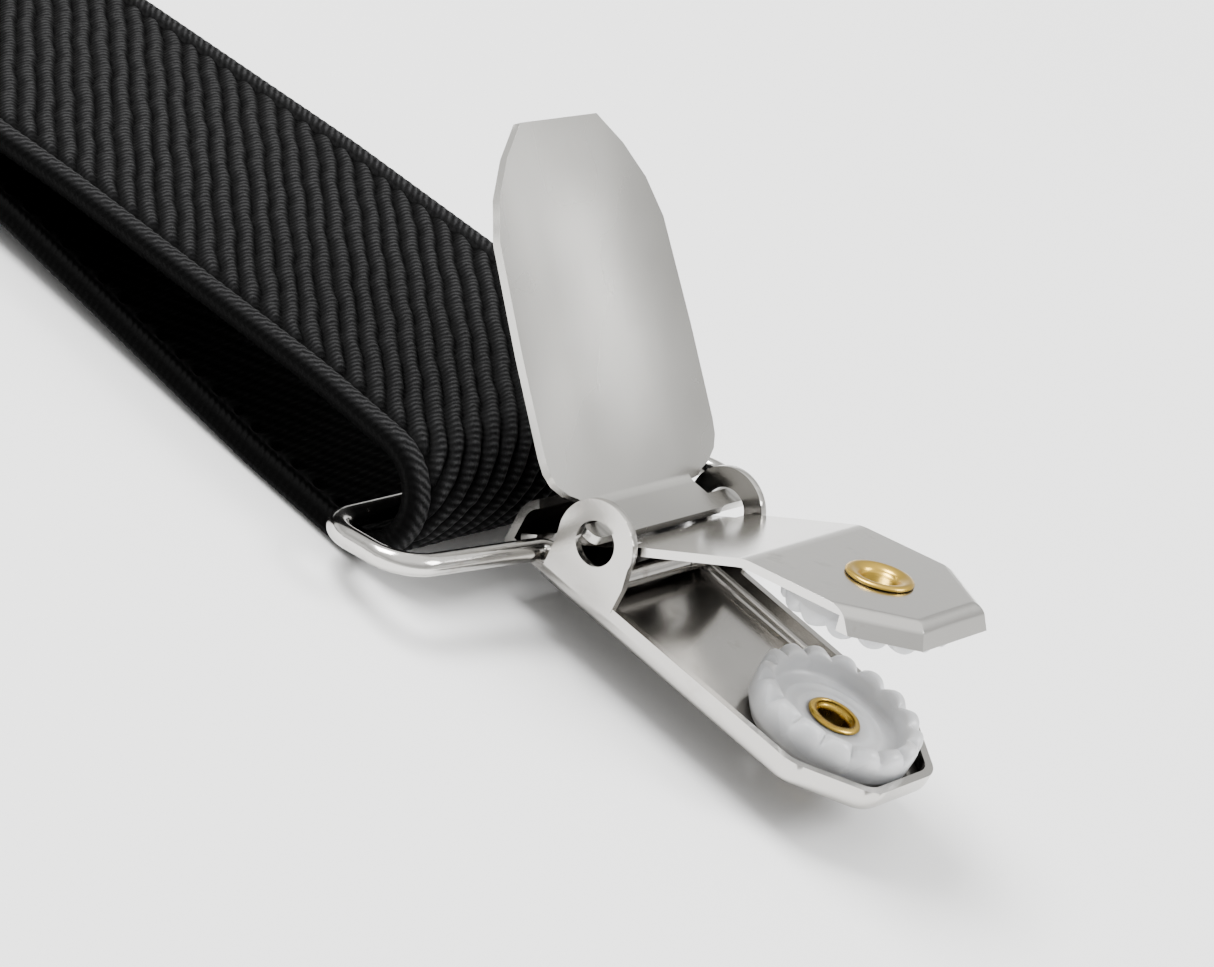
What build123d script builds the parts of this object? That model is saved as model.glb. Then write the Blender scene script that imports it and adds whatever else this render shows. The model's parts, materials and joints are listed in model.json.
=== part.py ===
from build123d import *
import math
import os

# Clip-on suspenders with a Y back, put away on a table: each strap is folded into a flat stack.
# Millimetres, +Z up, table at Z = 0, origin under the middle of the whole object.
# Every clip and its strap are drawn in a lane frame: origin on the lever's pivot axis,
# +X towards the clip's tip, +Y across it. place() then lays the lane on the table.

# ---- webbing ----
STRAP_W = 35.0
STRAP_T = 1.75
LAYER_GAP = 0.4
LAYER_PITCH = STRAP_T + LAYER_GAP

# ---- clip: stamped steel ----
SHEET = 0.65
PIVOT_H = 9.25
BODY_HALF = 8.75
BODY_TIP_X = 26.3
BODY_STRAIGHT_X = 21.2
BODY_STRAIGHT_HALF = 8.5
BODY_TIP_HALF = 4.0
FLOOR_Z = -5.4
FLANGE_Z = -3.17
BOTTOM_BEND_R = 1.4
PLAN_CORNER_R = 2.6
EAR_R = 3.25
EAR_REAR_X = -2.85
EAR_FRONT_X = 3.65
EAR_HOLE_R = 1.68
REAR_HALF = 7.4
REAR_X = -7.2
REAR_STRAIGHT_Z = -2.9
REAR_CURL_R = 2.3

# ---- lever ----
LEVER_ANGLE = 137.0
LEVER_TRAVEL = 130.0
FACE_OFFSET = -1.1
TONGUE_END = 30.6
TONGUE_HALF = 10.8
TONGUE_END_HALF = 4.8
NECK_HALF = 6.2
NECK_U = 2.75
HEEL_R = 1.15
FOOT_TOP_Z = 1.12
FOOT_FRONT_X = 0.65
FOOT_HALF = 7.0
TRUNNION_REACH = 9.9
TRUNNION_REAR_X = -1.0
TRUNNION_FRONT_X = 0.55

# ---- upper jaw ----
JAW_TRAVEL = 13.5
JAW_HALF = 7.85
JAW_FRONT_ANGLE = 14.3
JAW_FRONT_OFFSET = 3.64
JAW_REAR_ANGLE = 32.5
JAW_REAR = (-6.3, -4.15)
JAW_HINGE = (-6.15, -4.42)
JAW_TIP_V = 24.45
JAW_STRAIGHT_V = 19.9
JAW_TIP_HALF = 4.1
JAW_LIP = 1.8
JAW_LIP_SPLAY = 20.0
WAIST_HALF = 6.05
WAIST_X = (-5.05, 2.0)

# ---- wire loop ----
WIRE_R = 0.85
WIRE_BAR = (0.85, -3.45)
WIRE_BAR_HALF = 7.2
WIRE_SLOT = (-4.05, -3.8)
WIRE_CORNER = (-6.0, 21.7)
STRAP_BAR = (-13.8, -6.43)
STRAP_BAR_HALF = 20.6
BUTT_Y = 4.0
BUTT_GAP = 0.18

# ---- nylon pads and brass eyelets ----
PAD_X = 18.95
PAD_V = 18.05
LOBES = 16
LOBE_R = 1.12
LOBE_RING_R = 5.45
PAD_DISC_R = 5.7
LOWER_PAD_TOP = -1.2
LOWER_PAD_FLOOR = -2.95
UPPER_PAD_DEPTH = 2.35
UPPER_PAD_DISC = 1.0
EYELET_R = 1.5
EYELET_BORE_R = 1.2
EYELET_HOLE_R = 1.56
EYELET_ROLL = 0.33
LOWER_FLANGE_R = 2.0
UPPER_FLANGE_R = 2.55

# ---- strap loop at each clip (centre line, lane frame, Z above the table) ----
FOLD_X = -14.2
LOOP_TOP_Z = PIVOT_H
LOW_Z = STRAP_T / 2

# ---- adjuster ----
ADJUSTER_X = -96.0
ADJUSTER_L = 15.0
ADJUSTER_W = 42.0
ADJUSTER_SLOT_W = 36.4
ADJUSTER_METAL = 0.8
ADJUSTER_RISE = 1.0
ADJUSTER_BAR_T = 0.7
ADJUSTER_TEETH = 15

# ---- folded stacks, patch and layout ----
FRONT_STACK = (-124.0, -188.0)
FRONT_LEVELS = 7
FRONT_ENTRY_X = -222.0
BACK_STACK = (-58.0, -92.0)
BACK_LEVELS = 3
BACK_ENTRY_X = -112.0
HALF_ANGLE = 14.0
IN_PATCH = 17.0
LEATHER_T = 1.4
PATCH_STRAP_Z = 0.1 + LEATHER_T + STRAP_T / 2
PATCH_REAR_U = -30.0
PATCH_ENTRY_U = 30.0
STRAP_SPLIT = 18.6
STITCH_L = 2.2
STITCH_T = 0.5
STITCH_PITCH = 3.4


def bar_y(x, z, half, radius):
    """A round bar along Y through (x, z)."""
    return Pos(x, 0, z) * Rot(90, 0, 0) * Cylinder(radius, 2 * half)


def plate_xz(points, half):
    """A polygon in the XZ plane, extruded to +-half along Y."""
    face = make_face(Polyline(*[(x, 0, z) for x, z in points], close=True))
    return extrude(face, amount=half, dir=(0, 1, 0), both=True)


def tray(points, z_low, z_high, bend, wall):
    """A shallow open tray over a plan outline that is symmetric about Y = 0."""
    outline = make_face(Polyline(*[(x, y, 0) for x, y in points], close=True))
    rear_x = points[0][0]
    outline = fillet(outline.vertices().filter_by(lambda v: v.X > rear_x + 0.1), PLAN_CORNER_R)
    outer = extrude(Pos(0, 0, z_low) * outline, amount=z_high - z_low, dir=(0, 0, 1))
    bends = outer.faces().sort_by(Axis.Z)[0].edges().filter_by(lambda e: e.center().X > rear_x + 0.1)
    outer = fillet(bends, bend)
    inset = offset(outline, amount=-wall, kind=Kind.INTERSECTION)
    inner = extrude(Pos(0, 0, z_low + wall) * inset, amount=z_high - z_low, dir=(0, 0, 1))
    bends = inner.faces().sort_by(Axis.Z)[0].edges().filter_by(lambda e: e.center().X > rear_x + wall + 0.1)
    inner = fillet(bends, bend - wall)
    return outer - inner - Pos(-2 * wall, 0, 0) * inner


def clip_body():
    plan = [
        (EAR_REAR_X, -BODY_HALF),
        (BODY_STRAIGHT_X, -BODY_STRAIGHT_HALF),
        (BODY_TIP_X, -BODY_TIP_HALF),
        (BODY_TIP_X, BODY_TIP_HALF),
        (BODY_STRAIGHT_X, BODY_STRAIGHT_HALF),
        (EAR_REAR_X, BODY_HALF),
    ]
    body = tray(plan, FLOOR_Z, FLANGE_Z, BOTTOM_BEND_R, SHEET)
    # the two ears carry the lever
    ear_rear = [(EAR_REAR_X, 0, FLANGE_Z - 0.3), (EAR_REAR_X - 0.1, 0, -1.7), (-EAR_R, 0, -0.3)]
    ear_plan = Polyline(*ear_rear, (-EAR_R, 0, 0))
    ear_top = ThreePointArc((-EAR_R, 0, 0), (0, 0, EAR_R), (EAR_R, 0, 0))
    ear_front = Polyline((EAR_R, 0, 0), (EAR_FRONT_X - 0.05, 0, -1.5), (EAR_FRONT_X, 0, FLANGE_Z - 0.3))
    ear_foot = Line((EAR_FRONT_X, 0, FLANGE_Z - 0.3), (EAR_REAR_X, 0, FLANGE_Z - 0.3))
    ear = make_face(Wire(ear_plan.edges() + ear_top.edges() + ear_front.edges() + ear_foot.edges()))
    ears = extrude(ear, amount=BODY_HALF, dir=(0, 1, 0), both=True)
    ears -= Box(20, 2 * (BODY_HALF - SHEET), 20)
    body += ears
    # the floor runs back between the wire's slots and curls up over the jaw's rear edge
    rear = Pos((REAR_X + EAR_REAR_X) / 2 + 0.4, 0, FLOOR_Z + SHEET / 2)
    body += rear * Box(EAR_REAR_X - REAR_X + 0.8, 2 * REAR_HALF, SHEET)
    outer_r, inner_r = REAR_CURL_R, REAR_CURL_R - SHEET
    axis_x = REAR_X + outer_r
    c, s = math.cos(math.radians(125)), math.sin(math.radians(125))
    cm, sm = math.cos(math.radians(152)), math.sin(math.radians(152))
    z0 = REAR_STRAIGHT_Z
    curl = Wire(
        [
            Line((REAR_X, 0, FLOOR_Z), (REAR_X, 0, z0)),
            ThreePointArc(
                (REAR_X, 0, z0),
                (axis_x + outer_r * cm, 0, z0 + outer_r * sm),
                (axis_x + outer_r * c, 0, z0 + outer_r * s),
            ),
            Line((axis_x + outer_r * c, 0, z0 + outer_r * s), (axis_x + inner_r * c, 0, z0 + inner_r * s)),
            ThreePointArc(
                (axis_x + inner_r * c, 0, z0 + inner_r * s),
                (axis_x + inner_r * cm, 0, z0 + inner_r * sm),
                (REAR_X + SHEET, 0, z0),
            ),
            Line((REAR_X + SHEET, 0, z0), (REAR_X + SHEET, 0, FLOOR_Z)),
            Line((REAR_X + SHEET, 0, FLOOR_Z), (REAR_X, 0, FLOOR_Z)),
        ]
    )
    body += extrude(make_face(curl), amount=REAR_HALF, dir=(0, 1, 0), both=True)
    body -= bar_y(0, 0, 2 * BODY_HALF, EAR_HOLE_R)
    body -= Pos(PAD_X, 0, FLOOR_Z) * Cylinder(EYELET_HOLE_R, 4)
    return body


def tongue_plan():
    """The tongue's outline: u up the tongue from the pivot, y across. The sides bow in to a cut top."""
    right = [
        (NECK_U, NECK_HALF),
        (NECK_U + 0.15, 7.3),
        (3.35, 8.0),
        (3.75, 9.0),
        (4.6, 10.1),
        (5.6, 10.65),
        (6.8, TONGUE_HALF),
        (14.0, TONGUE_HALF - 0.05),
        (22.3, 10.35),
        (25.4, 9.25),
        (28.2, 7.3),
        (30.1, 5.3),
        (TONGUE_END, TONGUE_END_HALF),
    ]
    return right + [(u, -y) for u, y in reversed(right)]


def lever():
    turn = Rot(0, -LEVER_ANGLE, 0)
    face = make_face(Polyline(*[(u, y, 0) for u, y in tongue_plan()], close=True))
    # the tongue's local +Z is its back, once it is turned up past the vertical
    tongue = turn * Pos(0, 0, -FACE_OFFSET) * extrude(face, amount=SHEET, dir=(0, 0, 1))
    a = math.radians(LEVER_ANGLE)
    top, low = FOOT_TOP_Z, FOOT_TOP_Z - SHEET

    def on_tongue(offset, u=None, z=None):
        # a point of the tongue's front or back face, at u along it or where it meets height z
        if u is None:
            u = (z + offset * math.cos(a)) / math.sin(a)
        return (u * math.cos(a) + offset * math.sin(a), u * math.sin(a) - offset * math.cos(a))

    back_offset = FACE_OFFSET - SHEET
    heel_u = NECK_U + 1.6
    inside = on_tongue(FACE_OFFSET, z=top)
    outside = on_tongue(back_offset, z=low)
    front, back = on_tongue(FACE_OFFSET, u=heel_u), on_tongue(back_offset, u=heel_u)
    neck = plate_xz([front, inside, (FOOT_FRONT_X, top), (FOOT_FRONT_X, low), outside, back], NECK_HALF)
    for corner, radius in ((inside, HEEL_R), (outside, HEEL_R + SHEET)):
        across = neck.edges().filter_by(Axis.Y)
        near = across.sort_by(lambda e: math.dist((e.center().X, e.center().Z), corner))
        neck = fillet(near[0], radius)
    foot_len = FOOT_FRONT_X - TRUNNION_REAR_X
    foot = Pos((FOOT_FRONT_X + TRUNNION_REAR_X) / 2, 0, (top + low) / 2) * Box(foot_len, 2 * FOOT_HALF, SHEET)
    foot = fillet(foot.edges().filter_by(Axis.Z).group_by(Axis.X)[-1], 0.9)
    pin_len = TRUNNION_FRONT_X - TRUNNION_REAR_X
    pin_x = (TRUNNION_FRONT_X + TRUNNION_REAR_X) / 2
    pins = Pos(pin_x, 0, (top + low) / 2) * Box(pin_len, 2 * TRUNNION_REACH, SHEET)
    pins = fillet(pins.edges().filter_by(Axis.Z), 0.6)
    return tongue + neck + foot + pins


def jaw_frame():
    """The plane of the jaw's front part: u along it, normal away from the pivot."""
    a = math.radians(JAW_FRONT_ANGLE)
    return Plane(
        origin=(-JAW_FRONT_OFFSET * math.sin(a), 0, JAW_FRONT_OFFSET * math.cos(a)),
        x_dir=(math.cos(a), 0, math.sin(a)),
        z_dir=(-math.sin(a), 0, math.cos(a)),
    )


def jaw_bend():
    """The point of the jaw's top where its rear and front parts meet, as (x, z)."""
    f, r = math.tan(math.radians(JAW_FRONT_ANGLE)), math.tan(math.radians(JAW_REAR_ANGLE))
    z_front = JAW_FRONT_OFFSET / math.cos(math.radians(JAW_FRONT_ANGLE))
    z_rear = JAW_REAR[1] - r * JAW_REAR[0]
    x = (z_front - z_rear) / (r - f)
    return x, z_front + f * x


def upper_jaw():
    frame = jaw_frame()
    bend_x, bend_z = jaw_bend()
    f, r = math.radians(JAW_FRONT_ANGLE), math.radians(JAW_REAR_ANGLE)
    m = (f + r) / 2
    deep = SHEET / math.cos((r - f) / 2)
    rear_x, rear_z = JAW_REAR
    front_x, front_z = bend_x + 3 * math.cos(f), bend_z + 3 * math.sin(f)
    rear = plate_xz(
        [
            (rear_x, rear_z),
            (bend_x, bend_z),
            (front_x, front_z),
            (front_x + SHEET * math.sin(f), front_z - SHEET * math.cos(f)),
            (bend_x + deep * math.sin(m), bend_z - deep * math.cos(m)),
            (rear_x + SHEET * math.sin(r), rear_z - SHEET * math.cos(r)),
        ],
        JAW_HALF,
    )
    bends = rear.edges().filter_by(Axis.Y).filter_by(lambda e: abs(e.center().X - bend_x) < 0.5)
    rear = fillet(bends.sort_by(Axis.Z)[-1], 3.5)
    bends = rear.edges().filter_by(Axis.Y).filter_by(lambda e: abs(e.center().X - bend_x - 0.2) < 0.3)
    rear = fillet(bends.sort_by(Axis.Z)[0], 2.8)
    start_v = (front_x + JAW_FRONT_OFFSET * math.sin(f)) / math.cos(f) - 1.5
    plan = [
        (start_v, -JAW_HALF),
        (JAW_STRAIGHT_V, -JAW_HALF),
        (JAW_TIP_V, -JAW_TIP_HALF),
        (JAW_TIP_V, JAW_TIP_HALF),
        (JAW_STRAIGHT_V, JAW_HALF),
        (start_v, JAW_HALF),
    ]
    outline = make_face(Polyline(*[(u, y, 0) for u, y in plan], close=True))
    cap = extrude(outline, amount=JAW_LIP, dir=(0, 0, -1), taper=-JAW_LIP_SPLAY)
    rim = cap.faces().sort_by(Axis.Z)[-1].edges().filter_by(lambda e: e.center().X > JAW_STRAIGHT_V + 0.1)
    cap = fillet(rim, 1.15)
    inset = Pos(0, 0, -SHEET) * offset(outline, amount=-SHEET, kind=Kind.INTERSECTION)
    hollow = extrude(inset, amount=JAW_LIP, dir=(0, 0, -1), taper=-JAW_LIP_SPLAY)
    side = Pos((start_v + JAW_STRAIGHT_V) / 2 - 5, 0, -SHEET - 5) * Box(JAW_STRAIGHT_V - start_v + 10, 40, 10)
    front = (cap - hollow - side) & Pos(start_v + 10, 0, -5) * Box(24, 2 * JAW_HALF, 12)
    front -= Pos(PAD_V, 0, 0) * Cylinder(EYELET_HOLE_R, 6)
    jaw = rear + frame.location * front
    for side_y in (-1, 1):
        waist = Box(WAIST_X[1] - WAIST_X[0], 6, 20)
        jaw -= Pos((WAIST_X[0] + WAIST_X[1]) / 2, side_y * (WAIST_HALF + 3), 0) * waist
        jaw -= Pos(WAIST_X[0] - 5, side_y * (REAR_HALF - 0.1 + 3), 0) * Box(10, 6, 20)
    return jaw


def wire_loop():
    bar_x, bar_z = WIRE_BAR
    slot_x, slot_z = WIRE_SLOT
    corner_x, corner_y = WIRE_CORNER
    end_x, end_z = STRAP_BAR
    slope = (end_z - slot_z) / (end_x - slot_x)
    corner_z = slot_z + slope * (corner_x - slot_x)
    half = [
        (bar_x, WIRE_BAR_HALF, bar_z),
        (slot_x, WIRE_BAR_HALF, slot_z),
        (corner_x, corner_y, corner_z),
        (end_x, STRAP_BAR_HALF, end_z),
    ]
    far = [(x, -y, z) for x, y, z in reversed(half)]
    start = (bar_x, BUTT_Y + BUTT_GAP / 2, bar_z)
    end = (bar_x, BUTT_Y - BUTT_GAP / 2, bar_z)
    radii = [1.1, 1.2, 3.0, 3.2]
    path = FilletPolyline(start, *half, *far, end, radius=radii + radii[::-1])
    section = Plane(origin=start, z_dir=(0, 1, 0)) * Circle(WIRE_R)
    return sweep(section, path=path)


def pad(disc_low, disc_high, lobe_low, lobe_high):
    """A round pad: a disc with a ring of lobes that stands up past it, about Z."""
    body = Pos(0, 0, (disc_low + disc_high) / 2) * Cylinder(PAD_DISC_R, disc_high - disc_low)
    for i in range(LOBES):
        lobe = Pos(LOBE_RING_R, 0, (lobe_low + lobe_high) / 2) * Cylinder(LOBE_R, lobe_high - lobe_low)
        body += Rot(0, 0, i * 360 / LOBES) * lobe
    return body - Cylinder(EYELET_HOLE_R, 20)


def lower_pad():
    low = FLOOR_Z + SHEET + 0.03
    return Pos(PAD_X, 0, 0) * pad(low, LOWER_PAD_FLOOR, low + 0.8, LOWER_PAD_TOP)


def upper_pad():
    top = -SHEET - 0.03
    shape = Pos(PAD_V, 0, 0) * pad(top - UPPER_PAD_DISC, top, top - UPPER_PAD_DEPTH, top)
    # the front lobes are flat where they sit against the jaw's lip
    shape -= Pos(JAW_TIP_V - SHEET - 0.1 + 5, 0, 0) * Box(10, 30, 10)
    return jaw_frame().location * shape


def eyelet(low, high, flange_low, flange_high):
    """A brass tube with a flange below low and one above high, about Z."""
    tube = Pos(0, 0, (low + high) / 2) * Cylinder(EYELET_R, high - low)
    tube += Pos(0, 0, high + EYELET_ROLL / 2) * Cylinder(flange_high, EYELET_ROLL)
    tube += Pos(0, 0, low - EYELET_ROLL / 2) * Cylinder(flange_low, EYELET_ROLL)
    edges = tube.edges().filter_by(GeomType.CIRCLE).filter_by(lambda e: e.radius > EYELET_R + 0.1)
    return fillet(edges, 0.14) - Cylinder(EYELET_BORE_R, 40)


def lower_eyelet():
    return Pos(PAD_X, 0, 0) * eyelet(FLOOR_Z - 0.03, LOWER_PAD_FLOOR + 0.03, LOWER_FLANGE_R, LOWER_FLANGE_R)


def upper_eyelet():
    low = -SHEET - UPPER_PAD_DISC - 0.06
    shape = eyelet(low, 0.03, LOWER_FLANGE_R, UPPER_FLANGE_R)
    return jaw_frame().location * Pos(PAD_V, 0, 0) * shape


def turned(shape, centre, degrees):
    """The shape turned tip-down about the Y axis through centre = (x, z)."""
    x, z = centre
    return Pos(x, 0, z) * Rot(0, degrees, 0) * Pos(-x, 0, -z) * shape


def clip_parts(closed):
    """The eight pieces of a clip, open, or closed with the lever down on the jaw."""
    lever_turn = LEVER_TRAVEL if closed else 0
    jaw_turn = JAW_TRAVEL if closed else 0
    return {
        "clip_body": clip_body(),
        "upper_jaw": turned(upper_jaw(), JAW_HINGE, jaw_turn),
        "lever": turned(lever(), (0, 0), lever_turn),
        "wire_loop": wire_loop(),
        "lower_tooth_pad": lower_pad(),
        "upper_tooth_pad": turned(upper_pad(), JAW_HINGE, jaw_turn),
        "lower_eyelet": lower_eyelet(),
        "upper_eyelet": turned(upper_eyelet(), JAW_HINGE, jaw_turn),
    }


def webbing(points, radii):
    """Flat webbing along a centre line in the XZ plane; Z is above the table."""
    path = FilletPolyline(*[(x, 0, z) for x, z in points], radius=radii)
    section = Plane(origin=path @ 0, x_dir=(0, 1, 0), z_dir=path % 0) * Rectangle(STRAP_W, STRAP_T)
    return Pos(0, 0, -PIVOT_H) * sweep(section, path=path)


def loop_points(tail_x, low_rise, low_end_z):
    """The lower layer from its tail to the fold round the wire, and the fold."""
    fold_r = (LOOP_TOP_Z - LOW_Z) / 2
    k = fold_r + 0.001
    points = [(tail_x, low_end_z), (tail_x + 26, low_end_z), (-52, LOW_Z + low_rise), (-24, LOW_Z)]
    points += [(FOLD_X + k, LOW_Z), (FOLD_X + k, LOOP_TOP_Z)]
    return points, [60, 60, 60, fold_r - 0.02, fold_r - 0.02]


def stack_points(ends, levels):
    """Webbing folded back and forth from the +X end of the stack, upwards, ending at its -X side."""
    near_x, far_x = ends
    points, radii = [], []
    r = LAYER_PITCH / 2
    for level in range(levels - 1):
        x = far_x - r if level % 2 == 0 else near_x + r
        z = LOW_Z + level * LAYER_PITCH
        points += [(x, z), (x, z + LAYER_PITCH)]
        radii += [r - 0.01, r - 0.01]
    return points, radii


def front_strap():
    grip_z = ADJUSTER_RISE + STRAP_T / 2
    top_z = grip_z + STRAP_T + ADJUSTER_BAR_T + 2 * 0.15
    points, radii = loop_points(ADJUSTER_X - 17, 1.4, grip_z)
    points += [(-22, LOOP_TOP_Z), (-48, LOOP_TOP_Z - 1.65), (-79, top_z), (ADJUSTER_X - 16, top_z)]
    radii += [90, 90, 60, 8]
    points += [(FRONT_STACK[0] + 0.5, LOW_Z)]
    radii += [8]
    fold, fold_radii = stack_points(FRONT_STACK, FRONT_LEVELS)
    exit_z = LOW_Z + (FRONT_LEVELS - 1) * LAYER_PITCH
    points += fold + [(FRONT_STACK[1] - 3, exit_z), (FRONT_ENTRY_X + 6, PATCH_STRAP_Z)]
    radii += fold_radii + [10, 10]
    return webbing(points + [(FRONT_ENTRY_X - IN_PATCH, PATCH_STRAP_Z)], radii)


def back_strap():
    points, radii = loop_points(-50, 0.0, LOW_Z)
    points = [(-50, LOW_Z)] + points[4:]
    radii = radii[3:]
    seam_z = LOW_Z + STRAP_T + 0.1
    points += [(-20, LOOP_TOP_Z), (-38, seam_z), (BACK_STACK[0] + 5, seam_z), (BACK_STACK[0] + 0.5, LOW_Z)]
    radii += [25, 25, 4, 4]
    fold, fold_radii = stack_points(BACK_STACK, BACK_LEVELS)
    exit_z = LOW_Z + (BACK_LEVELS - 1) * LAYER_PITCH
    points += fold + [(BACK_STACK[1] - 3, exit_z), (BACK_ENTRY_X + 4, PATCH_STRAP_Z)]
    radii += fold_radii + [10, 10]
    return webbing(points + [(BACK_ENTRY_X - IN_PATCH, PATCH_STRAP_Z)], radii)


def adjuster():
    """A box frame round both layers of the loop, and the toothed bar between the layers."""
    m = ADJUSTER_METAL
    low_strap = ADJUSTER_RISE
    bar_z = low_strap + STRAP_T + 0.15
    top_strap = bar_z + ADJUSTER_BAR_T + 0.15
    inside_top = top_strap + STRAP_T + 0.15
    height = inside_top + m
    frame = Pos(0, 0, height / 2) * Box(ADJUSTER_L, ADJUSTER_W, height)
    frame = fillet(frame.edges().filter_by(Axis.X).group_by(Axis.Z)[-1], 1.6)
    top_rim = frame.faces().sort_by(Axis.Z)[-1].edges().filter_by(Axis.Y)
    frame = fillet(top_rim, 0.35)
    slot_h = inside_top - m
    frame -= Pos(0, 0, m + slot_h / 2) * Box(ADJUSTER_L + 1, ADJUSTER_SLOT_W, slot_h)
    frame -= Box(ADJUSTER_L - 5, ADJUSTER_SLOT_W, 2 * m + 0.2)
    bar_pos = Pos(-ADJUSTER_L / 4, 0, bar_z + ADJUSTER_BAR_T / 2)
    bar = bar_pos * Box(3.0, ADJUSTER_SLOT_W, ADJUSTER_BAR_T)
    step = ADJUSTER_SLOT_W / ADJUSTER_TEETH
    for i in range(ADJUSTER_TEETH):
        notch = Pos(1.5, (i + 0.5) * step - ADJUSTER_SLOT_W / 2, 0) * Rot(0, 0, 45) * Box(1.0, 1.0, 2)
        bar -= bar_pos * notch
    place_frame = Pos(ADJUSTER_X, 0, -PIVOT_H)
    return place_frame * frame, place_frame * bar


def stitch_run(start, end, z):
    """A row of stitches from start to end, lying at height z."""
    (x0, y0), (x1, y1) = start, end
    length = math.hypot(x1 - x0, y1 - y0)
    angle = math.degrees(math.atan2(y1 - y0, x1 - x0))
    count = max(1, round(length / STITCH_PITCH))
    row = []
    for i in range(count):
        t = (i + 0.5) / count
        spot = Pos(x0 + t * (x1 - x0), y0 + t * (y1 - y0), z + STITCH_T / 2) * Rot(0, 0, angle)
        row.append(spot * Box(STITCH_L, STITCH_T, STITCH_T))
    return row


def patch_plan(inset):
    """The patch's outline in its own frame: u towards the front straps, w across."""
    corners = [(35.5, 0), (26.0, 40.0), (-4.0, 31.0), (PATCH_REAR_U, 21.0)]
    full = corners + [(u, -w) for u, w in reversed(corners[1:])]
    centre_u = 2.0
    out = []
    for u, w in full:
        d = math.hypot(u - centre_u, w)
        out.append((centre_u + (u - centre_u) * (1 - inset / d), w * (1 - inset / d)))
    return out


def patch_layer(z):
    face = make_face(Polyline(*[(u, w, 0) for u, w in patch_plan(0)], close=True))
    layer = extrude(Pos(0, 0, z) * face, amount=LEATHER_T)
    return fillet(layer.edges().filter_by(Axis.Z), 2.5)


def patch_stitches():
    top = 0.2 + 2 * LEATHER_T + STRAP_T + 0.02
    plan = patch_plan(3.2)
    rows = []
    for a, b in zip(plan, plan[1:] + plan[:1]):
        rows += stitch_run(a, b, top)
    return Compound(rows)


def seam_stitches():
    """The square seam that closes the back strap's loop."""
    top = 2 * STRAP_T + 0.1 + 0.02 - PIVOT_H
    x0, x1, w = -49.0, -41.5, 13.5
    square = [(x0, -w), (x0, w), (x1, w), (x1, -w)]
    rows = []
    for a, b in zip(square, square[1:] + square[:1]):
        rows += stitch_run(a, b, top)
    return Compound(rows)


# ---- layout: the left front strap's lane is the lane frame itself ----
half = math.radians(HALF_ANGLE)
apex_x = FRONT_ENTRY_X - STRAP_SPLIT / math.sin(half)
patch_from_apex = STRAP_SPLIT / math.tan(half) - PATCH_ENTRY_U
axis = (math.cos(half), -math.sin(half))
patch_at = (apex_x + patch_from_apex * axis[0], patch_from_apex * axis[1])
back_reach = PATCH_REAR_U + BACK_ENTRY_X
back_at = (patch_at[0] + back_reach * axis[0], patch_at[1] + back_reach * axis[1])
right_at = (apex_x - apex_x * math.cos(2 * half), apex_x * math.sin(2 * half))

LANES = {
    "left": Location((0, 0, PIVOT_H), (0, 0, 0)),
    "right": Location((right_at[0], right_at[1], PIVOT_H), (0, 0, -2 * HALF_ANGLE)),
    "back": Location((back_at[0], back_at[1], PIVOT_H), (0, 0, 180 - HALF_ANGLE)),
}
PATCH = Location((patch_at[0], patch_at[1], 0), (0, 0, -HALF_ANGLE))


def build():
    nodes = {}
    for side, lane in LANES.items():
        for name, shape in clip_parts(closed=side != "left").items():
            nodes[f"{side}_{name}"] = lane * shape
    web = front_strap()
    for side, keep in (("left", 1), ("right", -1)):
        # inside the patch the two straps meet on its centre line
        other_side = PATCH * Pos(0, -keep * 50 + keep * 0.15, 0) * Box(150, 100, 60)
        nodes[f"{side}_front_strap"] = LANES[side] * web - other_side
        frame, bar = adjuster()
        nodes[f"{side}_adjuster_frame"] = LANES[side] * frame
        nodes[f"{side}_adjuster_bar"] = LANES[side] * bar
    nodes["back_strap"] = LANES["back"] * back_strap()
    nodes["back_loop_stitching"] = LANES["back"] * seam_stitches()
    nodes["patch_back_leather"] = PATCH * patch_layer(0)
    nodes["patch_front_leather"] = PATCH * patch_layer(0.2 + LEATHER_T + STRAP_T)
    nodes["patch_stitching"] = PATCH * patch_stitches()
    box = Compound([shape for shape in nodes.values()]).bounding_box()
    shift = (-(box.min.X + box.max.X) / 2, -(box.min.Y + box.max.Y) / 2, 0)
    return {name: Pos(*shift) * shape for name, shape in nodes.items()}, shift


if __name__ == "__main__":
    os.makedirs("parts", exist_ok=True)
    made, _ = build()
    for node, shape in made.items():
        export_step(shape, f"parts/{node}.step")
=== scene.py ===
import json
import math

import bmesh
import bpy
import numpy as np
from mathutils import Matrix, Vector


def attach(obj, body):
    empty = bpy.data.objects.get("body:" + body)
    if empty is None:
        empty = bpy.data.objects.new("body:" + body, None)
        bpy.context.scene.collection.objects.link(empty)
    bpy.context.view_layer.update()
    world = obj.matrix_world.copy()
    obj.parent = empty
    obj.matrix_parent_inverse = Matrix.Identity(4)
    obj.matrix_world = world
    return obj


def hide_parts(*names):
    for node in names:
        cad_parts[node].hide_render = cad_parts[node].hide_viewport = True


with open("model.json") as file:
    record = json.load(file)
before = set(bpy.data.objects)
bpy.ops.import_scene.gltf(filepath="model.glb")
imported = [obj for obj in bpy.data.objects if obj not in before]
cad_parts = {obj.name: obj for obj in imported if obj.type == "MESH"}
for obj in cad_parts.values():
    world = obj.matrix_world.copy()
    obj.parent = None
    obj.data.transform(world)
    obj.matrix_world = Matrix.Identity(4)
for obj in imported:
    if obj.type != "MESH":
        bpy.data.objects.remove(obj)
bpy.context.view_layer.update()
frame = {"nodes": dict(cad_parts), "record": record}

MM = 0.001
JOINTS = {j["name"]: j for j in frame["record"]["behaviour"]["joints"]}
MOUNTS = {m["name"]: m for m in frame["record"]["mounts"]}
SIDES = ("left", "right", "back")
PIVOT_H = 9.25
HALF_ANGLE = 14.0


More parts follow.
